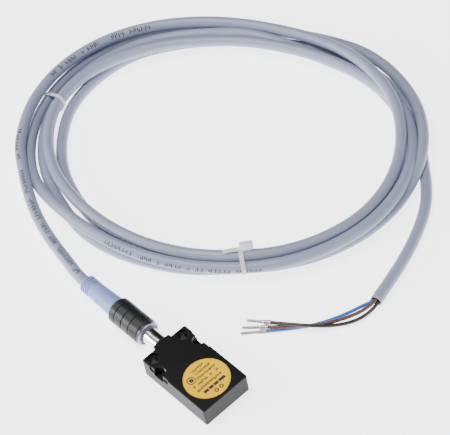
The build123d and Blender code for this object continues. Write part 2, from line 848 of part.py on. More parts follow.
# ---- cores: three insulated wires that fan out of the sheath's cut end ----
sheath_end = Vector(*tail_route[-1])
end_heading = (sheath_end - Vector(*tail_route[-2])).normalized()
end_side = Vector(end_heading.Y, -end_heading.X, 0)


def core_start(side, rise):
    """The first two points of a core: inside the sheath, then level with its cut end."""
    at_end = sheath_end + end_side * (side * core_circle_radius) + Vector(0, 0, rise)
    inside = at_end - end_heading * core_socket_depth
    return [(inside.X, inside.Y, inside.Z), (at_end.X, at_end.Y, at_end.Z)]


core_routes = {
    "blue": core_start(1.0, -0.4)
    + [
        (34.3, 60.6, 1.5),
        (32.8, 56.2, 1.0),
        (30.6, 50.6, 0.7),
        (27.0, 43.4, core_height),
        (22.6, 36.2, core_height),
        (17.4, 29.7, core_height),
    ],
    "brown": core_start(0.0, core_circle_radius)
    + [
        (36.7, 60.4, 2.5),
        (35.2, 55.2, 2.1),
        (32.2, 48.9, 2.0),
        (28.0, 42.8, 2.0),
        (22.6, 36.6, 2.0),
        (16.9, 30.9, 1.7),
    ],
    "black": core_start(-1.0, -0.4)
    + [
        (38.0, 60.4, 1.3),
        (36.9, 54.8, 0.8),
        (33.8, 48.6, 1.4),
        (29.4, 42.6, 3.1),
        (23.4, 37.2, 3.6),
        (16.8, 32.7, 2.8),
    ],
}
with BuildPart() as tail_tube:
    add(cord_tube(tail_route, cable_diameter, "tail_tube"))
    for route in core_routes.values():
        add(cord_tube(route, core_diameter + 2 * fit_gap), mode=Mode.SUBTRACT)
save(tail_tube.part, "tail_tube")
for colour, route in core_routes.items():
    save(cord_tube(route, core_diameter, f"core_{colour}"), f"core_{colour}")

# ---- ferrules: a crimped sleeve on each core's end and a longer slim pin ----
for colour, route in core_routes.items():
    tip = Vector(*route[-1])
    heading = (tip - Vector(*route[-2])).normalized()
    with BuildPart() as ferrule:
        with BuildSketch(Plane(origin=tip, z_dir=heading)):
            Circle(ferrule_diameter / 2)
        extrude(amount=ferrule_sleeve_length)
        with BuildSketch(Plane(origin=tip + heading * ferrule_sleeve_length, z_dir=heading)):
            Circle(ferrule_pin_diameter / 2)
        extrude(amount=ferrule_length - ferrule_sleeve_length)
    save(ferrule.part, f"ferrule_{colour}")
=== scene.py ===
import math

import bmesh
import bpy
import numpy as np
from mathutils import Matrix, Vector


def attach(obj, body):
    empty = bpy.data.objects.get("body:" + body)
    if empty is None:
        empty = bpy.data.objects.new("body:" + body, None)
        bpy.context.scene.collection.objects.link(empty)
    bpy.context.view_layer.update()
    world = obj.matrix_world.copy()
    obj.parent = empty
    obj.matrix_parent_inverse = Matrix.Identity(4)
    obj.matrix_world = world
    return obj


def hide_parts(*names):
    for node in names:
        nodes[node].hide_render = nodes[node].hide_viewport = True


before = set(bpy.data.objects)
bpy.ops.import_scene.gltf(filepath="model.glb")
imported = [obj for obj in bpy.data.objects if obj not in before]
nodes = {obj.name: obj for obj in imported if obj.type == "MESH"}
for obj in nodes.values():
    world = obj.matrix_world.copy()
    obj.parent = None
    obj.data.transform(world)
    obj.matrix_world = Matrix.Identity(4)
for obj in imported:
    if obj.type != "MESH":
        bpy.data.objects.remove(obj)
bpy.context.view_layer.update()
mm = 0.001
print("stage: frame loaded")


# ---- materials: a socket wrapper so that shader maths reads as plain expressions ----
class Wire:
    def __init__(self, tree, socket):
        self.tree, self.socket = tree, socket

    def math(self, operation, *others, clamp=False):
        node = self.tree.nodes.new("ShaderNodeMath")
        node.operation, node.use_clamp = operation, clamp
        for slot, value in zip(node.inputs, (self,) + others):
            if isinstance(value, Wire):
                self.tree.links.new(value.socket, slot)
            else:
                slot.default_value = value
        return Wire(self.tree, node.outputs[0])

    def constant(self, value):
        node = self.tree.nodes.new("ShaderNodeValue")
        node.outputs[0].default_value = value
        return Wire(self.tree, node.outputs[0])

    def __add__(self, other): return self.math("ADD", other)
    def __radd__(self, other): return self.math("ADD", other)
    def __sub__(self, other): return self.math("SUBTRACT", other)
    def __rsub__(self, other): return self.constant(other).math("SUBTRACT", self)
    def __mul__(self, other): return self.math("MULTIPLY", other)
    def __rmul__(self, other): return self.math("MULTIPLY", other)
    def __truediv__(self, other): return self.math("DIVIDE", other)
    def __rtruediv__(self, other): return self.constant(other).math("DIVIDE", self)
    def __pow__(self, other): return self.math("POWER", other)
    def __mod__(self, other): return self.math("FLOORED_MODULO", other)
    def __abs__(self): return self.math("ABSOLUTE")
    def __lt__(self, other): return self.math("LESS_THAN", other)
    def __gt__(self, other): return self.math("GREATER_THAN", other)


class Finish:
    # one material: node() adds any node, the rest are short ways to the usual ones
    def __init__(self, name):
        self.material = bpy.data.materials.new(name)
        self.material.use_nodes = True
        self.tree = self.material.node_tree
        self.shader = next(n for n in self.tree.nodes if n.type == "BSDF_PRINCIPLED")

    def node(self, kind, settings=None, values=None, out=0):
        node = self.tree.nodes.new(kind)
        for name, value in (settings or {}).items():
            if name == "stops":
                ramp = node.color_ramp
                while len(ramp.elements) < len(value):
                    ramp.elements.new(0.5)
                for element, (place, colour) in zip(ramp.elements, value):
                    element.position = place
                    element.color = colour
            else:
                setattr(node, name, value)
        for name, value in (values or {}).items():
            if isinstance(value, Wire):
                self.tree.links.new(value.socket, node.inputs[name])
            else:
                node.inputs[name].default_value = value
        return Wire(self.tree, node.outputs[out])

    def place(self):
        return self.node("ShaderNodeTexCoord", out="Object")

    def along(self):
        return self.node("ShaderNodeTexCoord", out="UV")

    def axes(self, vector):
        split = self.tree.nodes.new("ShaderNodeSeparateXYZ")
        self.tree.links.new(vector.socket, split.inputs[0])
        return [Wire(self.tree, socket) for socket in split.outputs]

    def stretch(self, vector, scale):
        return self.node("ShaderNodeMapping", None, {"Vector": vector, "Scale": scale})

    def noise(self, vector, scale, detail=3.0, roughness=0.55):
        values = {"Vector": vector, "Scale": scale, "Detail": detail, "Roughness": roughness}
        return self.node("ShaderNodeTexNoise", None, values, out="Fac")

    def ramp(self, value, *stops):
        # stops are (place, brightness)
        return self.node("ShaderNodeValToRGB", {"stops": [(at, grey(level)) for at, level in stops]}, {"Fac": value})

    def mix(self, factor, first, second):
        node = self.tree.nodes.new("ShaderNodeMix")
        node.data_type = "RGBA"
        for index, value in ((0, factor), (6, first), (7, second)):
            if isinstance(value, Wire):
                self.tree.links.new(value.socket, node.inputs[index])
            else:
                node.inputs[index].default_value = value
        return Wire(self.tree, node.outputs[2])

    def edgeFactor(self, distance=0.0004):
        # edges: the difference between the smooth bevelled normal and the true one
        bevel = self.node("ShaderNodeBevel", {"samples": 6}, {"Radius": distance})
        normal = self.node("ShaderNodeNewGeometry", out="Normal")
        dot = self.node("ShaderNodeVectorMath", {"operation": "DOT_PRODUCT"}, {0: bevel, 1: normal}, out="Value")
        return (1 - dot).math("MULTIPLY", 6.0, clamp=True)

    def bump(self, height, distance, strength=1.0):
        node = self.tree.nodes.new("ShaderNodeBump")
        node.inputs["Distance"].default_value = distance
        node.inputs["Strength"].default_value = strength
        self.tree.links.new(height.socket, node.inputs["Height"])
        self.tree.links.new(node.outputs[0], self.shader.inputs["Normal"])

    def set(self, **sockets):
        for name, value in sockets.items():
            socket = self.shader.inputs[{
                "colour": "Base Color", "roughness": "Roughness", "metallic": "Metallic", "coat": "Coat Weight",
                "transmission": "Transmission Weight", "specular": "Specular IOR Level"}[name]]
            if isinstance(value, Wire):
                self.tree.links.new(value.socket, socket)
            else:
                socket.default_value = value
        return self.material


def grey(value):
    return (value, value, value, 1)


def tinted(colour, share=1.0):
    return tuple(min(1, part * share) for part in colour) + (1,)


def mouldedPlastic(name, colour, edgeColour, roughness, grain, grainDepth, specular=0.5):
    # fine moulding grain, slow colour drift, and edges rubbed a little lighter and smoother
    f = Finish(name)
    p = f.place()
    fine = f.noise(p, grain, 4.0)
    slow = f.noise(p, grain / 40, 2.0)
    edge = f.edgeFactor() * f.ramp(f.noise(p, grain / 12, 3.0), (0.35, 0.25), (0.7, 1.0))
    tint = f.mix(slow, tinted(colour, 0.8), tinted(colour, 1.25))
    tint = f.mix(edge, tint, tinted(edgeColour))
    f.bump(fine, grainDepth, 0.7)
    return f.set(colour=tint, roughness=roughness + slow * 0.12 - edge * 0.08, specular=specular)


def platedMetal(name, colour, roughness, scratch=(900, 900, 60)):
    # bright plating: faint turning marks round the axis and a slow cloudiness
    f = Finish(name)
    p = f.place()
    marks = f.noise(f.stretch(p, scratch), 1.0, 5.0, 0.7)
    cloud = f.noise(p, 420, 3.0)
    tint = f.mix(cloud, tinted(colour, 0.86), tinted(colour))
    f.bump(marks, 0.00001, 0.35)
    return f.set(colour=tint, metallic=1.0, roughness=roughness + cloud * 0.10 + marks * 0.06)


def paint(name, material):
    mesh = nodes[name].data
    mesh.materials.clear()
    mesh.materials.append(material)


# ---- camera, lights and floor ----
# degrees, then the distances from the camera to the housing's rear corner: across, up and ahead
viewSettings = {"azimuth": 145.66, "elevation": 49.38, "roll": -11.19, "lens": 144.0, "sensor": 36.0,
                "toCorner": (-27.62 * mm, -54.04 * mm, 624.17 * mm), "corner": (-2.5 * mm, -10.0 * mm, 0.0)}


def makeCamera(settings):
    # forward from the azimuth and elevation, then right and up turned by the roll; the place follows from the corner
    azimuth, elevation, roll = (math.radians(settings[k]) for k in ("azimuth", "elevation", "roll"))
    level = math.cos(elevation)
    forward = Vector((level * math.cos(azimuth), level * math.sin(azimuth), -math.sin(elevation)))
    beside = forward.cross(Vector((0, 0, 1))).normalized()
    above = beside.cross(forward)
    right = beside * math.cos(roll) + above * math.sin(roll)
    up = above * math.cos(roll) - beside * math.sin(roll)
    across, rise, ahead = settings["toCorner"]
    place = Vector(settings["corner"]) - (right * across + up * rise + forward * ahead)
    data = bpy.data.cameras.new("studioCamera")
    data.lens, data.sensor_width, data.clip_start = settings["lens"], settings["sensor"], 0.01
    camera = bpy.data.objects.new("studioCamera", data)
    bpy.context.scene.collection.objects.link(camera)
    turn = Matrix((right, up, -forward)).transposed()
    camera.matrix_world = Matrix.Translation(place) @ turn.to_4x4()
    bpy.context.scene.camera = camera


makeCamera(viewSettings)

lightSettings = {
    "above": {"at": (-0.20, -0.10, 0.85), "look": (-0.04, 0.05, 0.0), "size": 0.42, "power": 7.5},
    "left": {"at": (-0.50, -0.62, 0.30), "look": (-0.02, 0.02, 0.01), "size": 0.34, "power": 7.5},
    "right": {"at": (0.60, 0.20, 0.30), "look": (-0.02, 0.04, 0.01), "size": 0.30, "power": 1.6},
}


def makeLight(name, settings):
    data = bpy.data.lights.new(name, "AREA")
    data.energy, data.size = settings["power"], settings["size"]
    light = bpy.data.objects.new(name, data)
    bpy.context.scene.collection.objects.link(light)
    at, look = Vector(settings["at"]), Vector(settings["look"])
    light.matrix_world = Matrix.Translation(at) @ (look - at).to_track_quat("-Z", "Y").to_matrix().to_4x4()


for lightName, settings in lightSettings.items():
    makeLight(lightName, settings)

roomSettings = {"dark": (0.02, 0.02, 0.024, 1), "pale": (0.80, 0.83, 0.90, 1), "towards": (0.62, -0.62, 0.10),
                "darkFrom": -0.45, "paleFrom": 0.55, "strength": 0.55}


def makeRoom(settings):
    # a pale room whose far wall is dark: the share of pale follows how far a direction leans towards the near side
    world = bpy.data.worlds.new("paleRoom")
    world.use_nodes = True
    links, made = world.node_tree.links, world.node_tree.nodes
    background = made["Background"]
    lean = made.new("ShaderNodeVectorMath")
    lean.operation = "DOT_PRODUCT"
    lean.inputs[1].default_value = settings["towards"]
    links.new(made.new("ShaderNodeTexCoord").outputs["Generated"], lean.inputs[0])
    share = made.new("ShaderNodeMapRange")
    share.inputs["From Min"].default_value = settings["darkFrom"]
    share.inputs["From Max"].default_value = settings["paleFrom"]
    links.new(lean.outputs["Value"], share.inputs["Value"])
    tone = made.new("ShaderNodeMix")
    tone.data_type = "RGBA"
    tone.inputs[6].default_value, tone.inputs[7].default_value = settings["dark"], settings["pale"]
    links.new(share.outputs[0], tone.inputs[0])
    links.new(tone.outputs[2], background.inputs[0])
    background.inputs[1].default_value = settings["strength"]
    bpy.context.scene.world = world


makeRoom(roomSettings)


def gridMesh(name, points, closeU=False, closeV=False, uv=None):
    # quads over a rows x columns array of points; closeU joins last row to first, closeV last column to first
    rows, columns = points.shape[:2]
    rowIndex = np.arange(rows if closeU else rows - 1)
    columnIndex = np.arange(columns if closeV else columns - 1)
    i, j = np.meshgrid(rowIndex, columnIndex, indexing="ij")
    i2, j2 = (i + 1) % rows, (j + 1) % columns
    quads = np.stack([i * columns + j, i * columns + j2, i2 * columns + j2, i2 * columns + j], -1).reshape(-1, 4)
    mesh = bpy.data.meshes.new(name)
    mesh.from_pydata(points.reshape(-1, 3).tolist(), [], quads.tolist())
    if uv is not None:
        layer = mesh.uv_layers.new(name="route")
        rowAt = np.stack([i, i, i + 1, i + 1], -1).reshape(-1)
        columnAt = np.stack([j, j + 1, j + 1, j], -1).reshape(-1)
        layer.data.foreach_set("uv", np.stack([uv[0][rowAt], uv[1][columnAt]], -1).astype(np.float32).ravel())
    mesh.polygons.foreach_set("use_smooth", np.ones(len(mesh.polygons), bool))
    mesh.update()
    piece = bpy.data.objects.new(name, mesh)
    bpy.context.scene.collection.objects.link(piece)
    return piece


floorSettings = {"halfSide": 4.0, "glow": 2.8}


def floorFinish():
    f = Finish("paleSweep")
    cloud = f.noise(f.place(), 6.0, 2.0)
    f.shader.inputs["Emission Color"].default_value = (1, 1, 1, 1)
    f.shader.inputs["Emission Strength"].default_value = floorSettings["glow"]
    return f.set(colour=f.mix(cloud, grey(0.93), grey(0.96)), roughness=0.9, specular=0.2)


def makeFloor():
    # a wide flat square just under the object
    side = np.linspace(-floorSettings["halfSide"], floorSettings["halfSide"], 3)
    x, y = np.meshgrid(side, side, indexing="ij")
    floor = gridMesh("floorSheet", np.stack([x, y, np.zeros_like(x)], -1))
    floor.data.flip_normals()
    floor.data.materials.append(floorFinish())


makeFloor()
print("stage: camera, lights and floor")

# ---- the cable: the lead repeats the CAD tube's points, and the coil's turns are wound by a loop. The tail's first
# three points lie up to 3 mm from the CAD tube's, nearer the coil, and the rest repeat them ----
cableSettings = {"diameter": 4.4 * mm, "step": 15.0, "sides": 28, "centre": (-57.3, 76.9), "meanRadius": 60.4,
                 "oval": 7.26, "ovalAngle": 27.0, "egg": 1.45, "spacing": 1.5 * mm, "bore": 0.80, "boreDepth": 1.6 * mm}
leadRoute = [(-44.5, 0, 4.95), (-49.5, 0, 4.95), (-59.0, 2.0, 4.8), (-70.0, 4.0, 4.6), (-82.0, 7.2, 4.5),
             (-94.5, 12.4, 4.6), (-106.0, 18.9, 4.9)]
tailRoute = [(5.1, 122.3, 2.2), (12.7, 116.0, 2.2), (20.4, 107.6, 2.2), (26.3, 97.0, 2.2), (31.2, 84.6, 2.2),
             (34.4, 73.4, 2.2), (36.7, 64.6, 2.2)]

# how each turn lies in the bundle, clockwise: degrees round the loop, mm outside the loop, mm above the floor
turnLays = [
    [(-140, 11.9, 5.6), (-160, 11.9, 6.7), (135, 11.7, 6.4), (110, 10.2, 6.9), (85, 6.2, 9.2), (62, 2.6, 10.4),
     (40, 1.2, 8.0), (10, 1.7, 6.6), (-15, 1.0, 6.8), (-38, 0.4, 8.2), (-60, -0.8, 7.2), (-90, -1.7, 6.6)],
    [(-115, -1.5, 6.4), (-135, 0.7, 6.3), (-160, 2.2, 6.3), (172, -0.6, 6.4), (150, 0.0, 6.2), (120, 2.6, 6.1),
     (95, 2.0, 6.0), (74, 1.4, 6.1), (55, 5.2, 6.5), (10, 6.3, 6.5), (-15, 5.9, 6.4), (-38, 4.0, 5.7),
     (-60, 3.7, 6.2), (-92, 3.8, 6.5)],
    [(-112, 5.6, 6.0), (-130, 8.6, 2.4), (-160, 9.2, 2.2), (165, 11.6, 2.2), (135, 13.2, 2.2), (105, 13.8, 2.3),
     (85, 12.2, 6.5), (55, 10.2, 6.6), (38, 9.4, 6.6), (20, 7.4, 2.6), (0, 5.2, 2.2), (-20, 2.6, 2.2),
     (-40, 1.0, 2.2), (-60, 2.8, 2.2), (-95, 4.6, 2.2)],
    [(-115, 2.6, 2.2), (-135, 3.4, 2.2), (-160, 5.0, 2.2), (150, 8.4, 2.2), (138, 8.3, 3.2), (124, 6.8, 6.3),
     (112, 5.6, 5.0), (98, 4.6, 2.2), (60, 4.2, 2.2), (10, 2.4, 2.2), (-15, -1.0, 2.2), (-38, -2.6, 4.9),
     (-60, -1.2, 2.4), (-95, -2.0, 2.2)],
    [(-118, -3.6, 2.2), (-145, -3.8, 2.2), (-168, -1.0, 2.2), (165, 2.4, 2.2), (140, 4.6, 2.2), (120, 7.0, 2.2),
     (100, 8.8, 2.2), (75, 8.6, 2.2), (50, 8.2, 2.2)],
]


def loopRadius(degrees):
    # mean radius, plus an oval term at twice the angle, less an egg term at three times the angle
    s = cableSettings
    oval = s["oval"] * math.cos(2 * math.radians(degrees - s["ovalAngle"]))
    return s["meanRadius"] + oval - s["egg"] * math.cos(3 * math.radians(degrees))


def windCoil(lays, settings):
    # steps round the loop, easing each turn's offset and height from one lay to the next; the control points
    # stand outside the wanted line by the cosine of half a step, because the spline cuts inside them
    keys = []
    for lay in lays:
        for degrees, outside, height in lay:
            while keys and degrees >= keys[-1][0]:
                degrees -= 360
            keys.append((degrees, outside, height))
    first, last = keys[0][0], keys[-1][0]
    count = round((first - last) / settings["step"])
    step = (first - last) / count
    spread = 1 / math.cos(math.radians(step / 2))
    points, at = [], 0
    for number in range(count + 1):
        degrees = first - step * number
        while at < len(keys) - 2 and degrees < keys[at + 1][0]:
            at += 1
        here, there = keys[at], keys[at + 1]
        part = min(max((degrees - here[0]) / (there[0] - here[0]), 0), 1)
        ease = part * part * (3 - 2 * part)
        radius = (loopRadius(degrees) + here[1] + (there[1] - here[1]) * ease) * spread
        turn = math.radians(degrees)
        centreX, centreY = settings["centre"]
        points.append((centreX + radius * math.cos(turn), centreY + radius * math.sin(turn),
                       here[2] + (there[2] - here[2]) * ease))
    return points


def routeCurve(name, points):
    curve = bpy.data.curves.new(name, "CURVE")
    curve.dimensions, curve.resolution_u = "3D", 16
    spline = curve.splines.new("NURBS")
    spline.points.add(len(points) - 1)
    for point, place in zip(spline.points, points):
        point.co = (place[0] * mm, place[1] * mm, place[2] * mm, 1)
    spline.order_u = 3
    spline.use_endpoint_u = True
    line = bpy.data.objects.new(name, curve)
    bpy.context.scene.collection.objects.link(line)
    return line


def readRoute(line):
    # the smooth line of a curve as an array of points, then the curve object goes
    mesh = bpy.data.meshes.new_from_object(line)
    co = np.zeros(len(mesh.vertices) * 3)
    mesh.vertices.foreach_get("co", co)
    bpy.data.meshes.remove(mesh)
    bpy.data.objects.remove(line)
    return co.reshape(-1, 3)


def resample(path, spacing):
    lengths = np.concatenate([[0], np.cumsum(np.linalg.norm(np.diff(path, axis=0), axis=1))])
    stations = np.linspace(0, lengths[-1], max(8, int(lengths[-1] / spacing)))
    return np.stack([np.interp(stations, lengths, path[:, k]) for k in range(3)], -1), stations


def sweepProfile(name, path, radiusAt, sides, bore=None):
    # circles carried along a path on a frame that never twists: point = path + r(u, v) (cos v side + sin v lift);
    # radiusAt(u, v) gives r from the length along and the angle round; each end is closed by rings drawn in to a
    # point, and a hollow end first steps in by the wall and goes back down the bore (its share of r, its depth)
    points, stations = path
    tangent = np.gradient(points, axis=0)
    tangent /= np.linalg.norm(tangent, axis=1)[:, None]
    side = np.cross(tangent, (0, 0, 1))
    side /= np.linalg.norm(side, axis=1)[:, None]
    lift = np.cross(side, tangent)
    angle = np.linspace(0, 2 * math.pi, sides, endpoint=False)
    u, v = np.meshgrid(stations, angle, indexing="ij")
    r = radiusAt(u, v)
    body = points[:, None] + (r * np.cos(v))[..., None] * side[:, None] + (r * np.sin(v))[..., None] * lift[:, None]
    point = 0.0001
    caps = ends = [(0.94, 0.0), (point, 0.0)]
    if bore:
        share, depth = bore
        ends = [(0.985, -0.03 * mm), (share + 0.02, -0.03 * mm), (share, 0.05 * mm), (share, depth), (point, depth)]
    head = [points[0] + (body[0] - points[0]) * part for part, _ in reversed(caps)]
    foot = [points[-1] + (body[-1] - points[-1]) * part - tangent[-1] * back for part, back in ends]
    rows = np.concatenate([np.array(head), body, np.array(foot)])
    uRow = np.concatenate([[stations[0]] * len(head), stations, [stations[-1]] * len(foot)])
    vColumn = np.linspace(0, 1, sides + 1)
    return gridMesh(name, rows, closeV=True, uv=(uRow, vColumn))


# the marks' side of the sheath as (metres along, turns round), the stretches that carry marks, the width of one
# mark's cell in metres, and the marks' height in turns
printSettings = {
    "side": [(0.0, 0.26), (0.035, 0.26), (0.057, 0.29), (0.076, 0.33), (0.10, 0.22), (0.12, 0.17), (0.15, 0.13),
             (0.165, 0.11), (0.28, 0.66), (0.70, 0.66), (0.765, 0.49), (0.80, 0.475), (0.84, 0.39), (0.95, 0.72),
             (2.05, 0.80)],
    "stretches": [(0.005, 0.020), (0.022, 0.034), (0.036, 0.048), (0.051, 0.063), (0.069, 0.084), (0.113, 0.127),
                  (0.130, 0.138), (0.144, 0.150), (0.152, 0.161), (0.776, 0.803), (0.805, 0.811), (0.813, 0.821),
                  (0.824, 0.836), (1.30, 1.36)],
    "pitch": 1.6 * mm, "height": 0.160,
}


def printSide(stations):
    along, side = np.array(printSettings["side"]).T
    return np.interp(stations, along, side)


def sheathFinish():
    # smooth grey jacket: faint drawing lines along it, slow mottling, and a line of plain printed ticks, each cell
    # holding one upright of chance height and a shorter tick at a chance height
    s = printSettings
    f = Finish("sheathJacket")
    along, around, _ = f.axes(f.along())
    p = f.place()
    slow = f.noise(p, 70, 2.0)
    fine = f.noise(p, 2400, 3.0)
    lines = f.noise(f.node("ShaderNodeCombineXYZ", None, {"X": along * 11, "Y": around * 50, "Z": 0.0}), 1.0, 2.0)
    cell = (along / s["pitch"]).math("FLOOR")
    inCell = (along / s["pitch"]).math("FRACT")
    level = (around - 0.5) / s["height"]

    def chance(seed):
        return f.node("ShaderNodeTexWhiteNoise", {"noise_dimensions": "1D"}, {"W": cell * 1.37 + seed}, out="Value")

    tall = 0.48 - chance(1.0) * 0.12
    upright = (abs(inCell - 0.22) < 0.14) * (abs(level) < tall)
    tick = (abs(inCell - 0.66) < 0.15) * (abs(level - (chance(5.0) - 0.5) * 0.5) < chance(9.0) * 0.26 + 0.08)
    strokes = (upright + tick).math("MINIMUM", 1.0) * (chance(13.0) > 0.10)
    printed = sum((along > start) * (along < end) for start, end in s["stretches"])
    ink = strokes * printed * f.ramp(fine, (0.28, 0.75), (0.50, 1.0))
    tint = f.mix(slow, (0.235, 0.262, 0.360, 1), (0.290, 0.318, 0.425, 1))
    tint = f.mix(ink * 0.96, tint, (0.008, 0.009, 0.014, 1))
    f.bump(fine * 0.5 + lines, 0.00002, 0.5)
    return f.set(colour=tint, roughness=0.37 + lines * 0.10, specular=0.5)


def makeCable():
    s = cableSettings
    line = routeCurve("cableLine", leadRoute + windCoil(turnLays, s) + tailRoute)
    points, stations = resample(readRoute(line), s["spacing"])
    cable = sweepProfile("cable", (points, stations), lambda u, v: np.full_like(u, s["diameter"] / 2), s["sides"],
                         (s["bore"], s["boreDepth"]))
    # the map's second axis is turned so that the marks' side lies at its middle
    layer = cable.data.uv_layers["route"].data
    uv = np.zeros(len(layer) * 2, np.float32)
    layer.foreach_get("uv", uv)
    uv[1::2] = uv[1::2] - printSide(uv[0::2]) + 0.5
    layer.foreach_set("uv", uv)
    cable.data.materials.append(sheathFinish())
    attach(cable, "plug")
    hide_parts("lead_tube", "cable_coil", "tail_tube")
    print("cable length", round(float(stations[-1]), 4))
    return cable, points, float(stations[-1])


cable, cablePoints, cableLength = makeCable()
print("stage: cable")

# ---- cores and ferrules ----
coreSize = {"diameter": 1.3 * mm, "sides": 20, "spacing": 0.7 * mm}
coreSettings = {
    "blue": {"route": [(33.6, 67.6, 1.8), (35.9, 64.4, 1.8), (34.3, 60.6, 1.5), (32.8, 56.2, 1.0), (30.6, 50.6, 0.7),
                       (27.0, 43.4, 0.70), (22.1, 36.6, 0.85), (16.6, 30.3, 0.98)],
             "dark": (0.020, 0.110, 0.42, 1), "light": (0.035, 0.18, 0.60, 1)},
    "brown": {"route": [(35.8, 68.1, 3.0), (36.7, 64.6, 3.0), (36.7, 60.4, 2.5), (35.2, 55.2, 2.1), (32.2, 48.9, 2.0),
                        (28.0, 42.8, 2.0), (22.3, 36.9, 2.2), (16.4, 31.4, 2.1)],
              "dark": (0.070, 0.026, 0.020, 1), "light": (0.130, 0.052, 0.040, 1)},
    "black": {"route": [(36.6, 68.3, 1.8), (37.5, 64.8, 1.8), (38.0, 60.4, 1.3), (36.9, 54.8, 0.8), (33.8, 48.6, 1.4),
                        (29.4, 42.6, 3.1), (23.2, 37.3, 3.8), (16.4, 33.0, 3.2)],
              "dark": (0.016, 0.013, 0.013, 1), "light": (0.036, 0.030, 0.029, 1)},
}


def coreFinish(name, settings):
    f = Finish(name)
    p = f.place()
    slow = f.noise(p, 260, 3.0)
    f.bump(f.noise(p, 3200, 2.0), 0.00001, 0.5)
    return f.set(colour=f.mix(slow, settings["dark"], settings["light"]), roughness=0.30 + slow * 0.12)


def tinFinish():
    f = Finish("tinnedCrimp")
    p = f.place()
    cloud = f.noise(p, 900, 3.0)
    pits = f.noise(p, 5200, 4.0)
    tint = f.mix(cloud, (0.36, 0.35, 0.33, 1), (0.66, 0.65, 0.62, 1))
    f.bump(pits, 0.00002, 0.6)
    return f.set(colour=tint, metallic=0.85, roughness=0.28 + cloud * 0.18)


tinned = tinFinish()
ferruleSettings = {"length": 9.2 * mm, "collar": 2.6 * mm, "collarRadius": 0.93 * mm, "pinRadius": 0.66 * mm,
                   "tip": 1.3 * mm, "sides": 32}


def makeFerrule(colour, tip, heading):
    # radius along the ferrule: a flared crimped collar, a shoulder, then a slim pin pressed into ridges and rounded off
    s = ferruleSettings
    stations = np.linspace(0, s["length"], 120)
    points = np.array(tip)[None] + stations[:, None] * np.array(heading)[None]

    def radiusAt(u, v):
        collar = s["collarRadius"] * (0.96 + 0.04 * np.cos(v * 4) * (u > 0.9 * mm))
        pin = s["pinRadius"] * (0.88 + 0.07 * np.cos(u / mm * 5.2) + 0.06 * np.cos(v * 4))
        blend = 1 / (1 + np.exp(-(u - s["collar"]) / (0.16 * mm)))
        taper = np.clip((s["length"] - u) / s["tip"], 0, 1) ** 0.45
        return (collar * (1 - blend) + pin * blend) * (0.35 + 0.65 * taper)

    piece = sweepProfile("ferrule" + colour.capitalize(), (points, stations), radiusAt, s["sides"])
    piece.data.materials.append(tinned)
    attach(piece, "plug")
    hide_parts("ferrule_" + colour)
    return piece


def makeCore(colour, settings):
    s = coreSize
    points, stations = resample(readRoute(routeCurve("core" + colour, settings["route"])), s["spacing"])
    core = sweepProfile("core" + colour.capitalize(), (points, stations),
                        lambda u, v: np.full_like(u, s["diameter"] / 2), s["sides"])
    core.data.materials.append(coreFinish("insulation" + colour.capitalize(), settings))
    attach(core, "plug")
    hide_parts("core_" + colour)
    end = np.array(settings["route"][-1]) - np.array(settings["route"][-2])
    ferrule = makeFerrule(colour, points[-1], end / np.linalg.norm(end))


for colour, settings in coreSettings.items():
    makeCore(colour, settings)
print("stage: cores and ferrules")


# ---- cable ties: a band drawn round the strands that it holds, with its head and its cut tail ----
tieSettings = {
    "front": {"angle": -34.6, "strands": (0, 1, 2, 3), "width": 1.6, "thickness": 0.55, "skew": 0.0,
              "head": {"beside": 0, "lean": 118.0, "reach": 1.1, "shift": -2.4, "size": (2.5, 1.7, 1.5)},
              "tail": {"lean": 112.0, "from": -0.6, "to": 6.2, "width": 2.6, "thickness": 0.45, "bend": 130}},
    "side": {"angle": -159.3, "strands": (1, 2, 3), "width": 1.25, "thickness": 0.45, "skew": 0.34,
             "head": {"beside": 3, "lean": 192.0, "reach": 0.5, "shift": 0.0, "size": (1.2, 1.0, 0.9)}, "tail": None},
}


def tieFinish():
    f = Finish("tieNylon")
    p = f.place()
    haze = f.noise(p, 500, 3.0)
    f.bump(f.noise(p, 3000, 3.0), 0.00001, 0.5)
    tint = f.mix(haze, grey(0.82), (0.94, 0.95, 0.97, 1))
    return f.set(colour=tint, roughness=0.24 + haze * 0.16, transmission=0.30, specular=0.55)


nylon = tieFinish()


def ringPlane(degrees):
    # the upright plane across the bundle at one place round the loop: its foot on the loop, outward and along
    turn = math.radians(degrees)
    outward = np.array([math.cos(turn), math.sin(turn), 0.0])
    foot = np.array([*cableSettings["centre"], 0.0]) + loopRadius(degrees) * outward
    return foot, outward, np.array([math.sin(turn), -math.cos(turn), 0.0])


def bandLine(strands, reach, count):
    # tight line round several circles: for each direction the furthest circle's point, then even spacing along it
    angle = np.linspace(0, 2 * math.pi, 720, endpoint=False)
    normal = np.stack([np.cos(angle), np.sin(angle)], -1)
    centres = np.array(strands)
    furthest = np.argmax(centres @ normal.T, axis=0)
    line = centres[furthest] + reach * normal
    closed = np.concatenate([line, line[:1]])
    lengths = np.concatenate([[0], np.cumsum(np.linalg.norm(np.diff(closed, axis=0), axis=1))])
    stations = np.linspace(0, lengths[-1], count, endpoint=False)
    return np.stack([np.interp(stations, lengths, closed[:, k]) for k in (0, 1)], -1)


